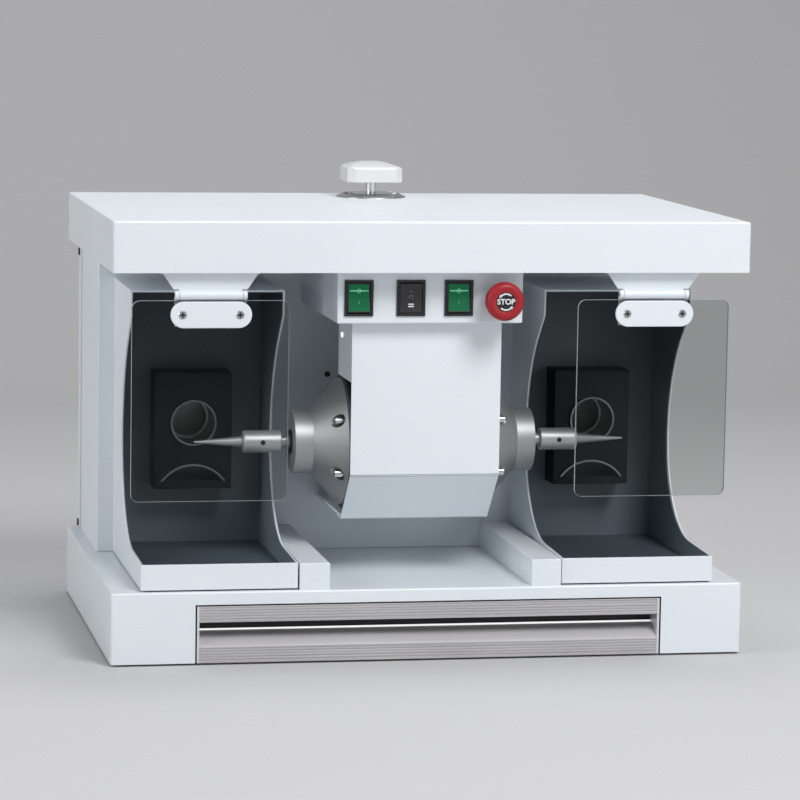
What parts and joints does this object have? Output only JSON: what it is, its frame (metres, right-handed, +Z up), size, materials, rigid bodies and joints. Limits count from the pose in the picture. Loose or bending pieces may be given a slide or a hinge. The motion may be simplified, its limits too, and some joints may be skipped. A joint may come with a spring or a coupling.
{
  "type": "dental polishing lathe",
  "caption": "Bench polishing lathe for a dental laboratory, with a hooded work place and clear shield at each end of the spindle, dust extraction and a drawer.",
  "frame": {"origin": "middle of the footprint, on the table under the rubber feet", "axes": "+X along the spindle to the user's right, -Y towards the user, +Z up"},
  "size_m": [0.64, 0.424, 0.477],
  "materials": {
    "white_coat": "satin powder coat",
    "zinc_sheet": "satin zinc",
    "dark_lining": "matt charcoal",
    "bright_steel": "ground bright",
    "dark_steel": "black oxide",
    "cast_aluminium": "satin cast",
    "drawer_aluminium": "brushed lengthways",
    "laminations": "machined",
    "bearing_steel": "ground",
    "black_plastic": "fine grain",
    "grey_plastic": "satin",
    "green_plastic": "lit lens",
    "red_plastic": "gloss",
    "clear_plastic": "clear",
    "ivory_plastic": "satin",
    "black_rubber": "matt",
    "filter_fleece": "fleece"
  },
  "bodies": {
    "housing": {"base_shell": "white_coat", "base_plate": "zinc_sheet", "rubber_feet": "black_rubber", "base_rails": "white_coat", "column_shell": "white_coat", "rear_cover": "white_coat", "housing_screws": "dark_steel", "top_cover": "white_coat", "cover_floor": "zinc_sheet", "left_hood": "white_coat", "right_hood": "white_coat", "hood_linings": "dark_lining", "suction_boxes": "dark_lining", "suction_mouths": "bright_steel", "hinge_brackets": "white_coat", "hinge_pins": "bright_steel", "control_panel": "white_coat", "switch_frames": "black_plastic", "stop_collar": "black_plastic", "stop_contacts": "black_plastic", "motor_cover": "white_coat", "motor_shelf": "zinc_sheet", "motor_saddle": "dark_steel", "motor_housing": "cast_aluminium", "stator": "laminations", "left_end_bell": "cast_aluminium", "right_end_bell": "cast_aluminium", "tie_bolts": "dark_steel", "motor_bearings": "bearing_steel", "drawer_runners": "zinc_sheet", "filter_shelf": "zinc_sheet", "filter_cassette": "filter_fleece", "fan_housing": "zinc_sheet", "fan_motor": "black_plastic", "knob_ring": "bright_steel", "power_inlet": "black_plastic"},
    "spindle": {"spindle_shaft": "bright_steel", "rotor": "laminations", "spindle_tapers": "bright_steel", "set_screws": "dark_steel"},
    "drawer": {"drawer_box": "zinc_sheet", "drawer_front": "drawer_aluminium", "drawer_caps": "drawer_aluminium", "drawer_slides": "zinc_sheet"},
    "left_shield_arm": {"left_shield_leaf": "white_coat", "left_shield": "clear_plastic", "left_clamp_plate": "white_coat", "left_clamp_screws": "bright_steel"},
    "right_shield_arm": {"right_shield_leaf": "white_coat", "right_shield": "clear_plastic", "right_clamp_plate": "white_coat", "right_clamp_screws": "bright_steel"},
    "left_switch": {"left_rocker": "green_plastic"},
    "middle_switch": {"middle_rocker": "grey_plastic"},
    "right_switch": {"right_rocker": "green_plastic"},
    "stop_plunger": {"stop_stem": "bright_steel"},
    "stop_button": {"stop_head": "red_plastic"},
    "filter_shaker": {"shaker_knob": "ivory_plastic", "shaker_rod": "bright_steel"},
    "fan_rotor": {"fan_impeller": "grey_plastic"}
  },
  "joints": [
    {"name": "spindle_spin", "type": "hinge", "parent": "housing", "child": "spindle", "pos_m": [0, -0.091, 0.2055], "axis": [1, 0, 0], "continuous": true},
    {"name": "drawer_slide", "type": "slide", "parent": "housing", "child": "drawer", "axis": [0, -1, 0], "range_m": [0, 0.26]},
    {"name": "left_shield_tilt", "type": "hinge", "parent": "housing", "child": "left_shield_arm", "pos_m": [-0.223, -0.204, 0.3653], "axis": [-1, 0, 0], "range_deg": [0, 100]},
    {"name": "right_shield_tilt", "type": "hinge", "parent": "housing", "child": "right_shield_arm", "pos_m": [0.223, -0.204, 0.3653], "axis": [-1, 0, 0], "range_deg": [0, 100]},
    {"name": "left_switch_rock", "type": "hinge", "parent": "housing", "child": "left_switch", "pos_m": [-0.0725, -0.1795, 0.36], "axis": [1, 0, 0], "range_deg": [0, 14]},
    {"name": "middle_switch_rock", "type": "hinge", "parent": "housing", "child": "middle_switch", "pos_m": [-0.02, -0.1795, 0.36], "axis": [1, 0, 0], "range_deg": [-7, 7]},
    {"name": "right_switch_rock", "type": "hinge", "parent": "housing", "child": "right_switch", "pos_m": [0.0285, -0.1795, 0.36], "axis": [1, 0, 0], "range_deg": [0, 14]},
    {"name": "stop_push", "type": "slide", "parent": "housing", "child": "stop_plunger", "axis": [0, 1, 0], "range_m": [0, 0.004]},
    {"name": "stop_twist", "type": "hinge", "parent": "stop_plunger", "child": "stop_button", "pos_m": [0.0704, -0.2, 0.3585], "axis": [0, 1, 0], "range_deg": [0, 30], "stiffness_Nm_per_rad": 0.05},
    {"name": "shaker_push", "type": "slide", "parent": "housing", "child": "filter_shaker", "axis": [0, 0, 1], "range_m": [-0.01, 0]},
    {"name": "fan_spin", "type": "hinge", "parent": "housing", "child": "fan_rotor", "pos_m": [0, 0.142, 0.15], "axis": [0, 1, 0], "continuous": true}
  ]
}
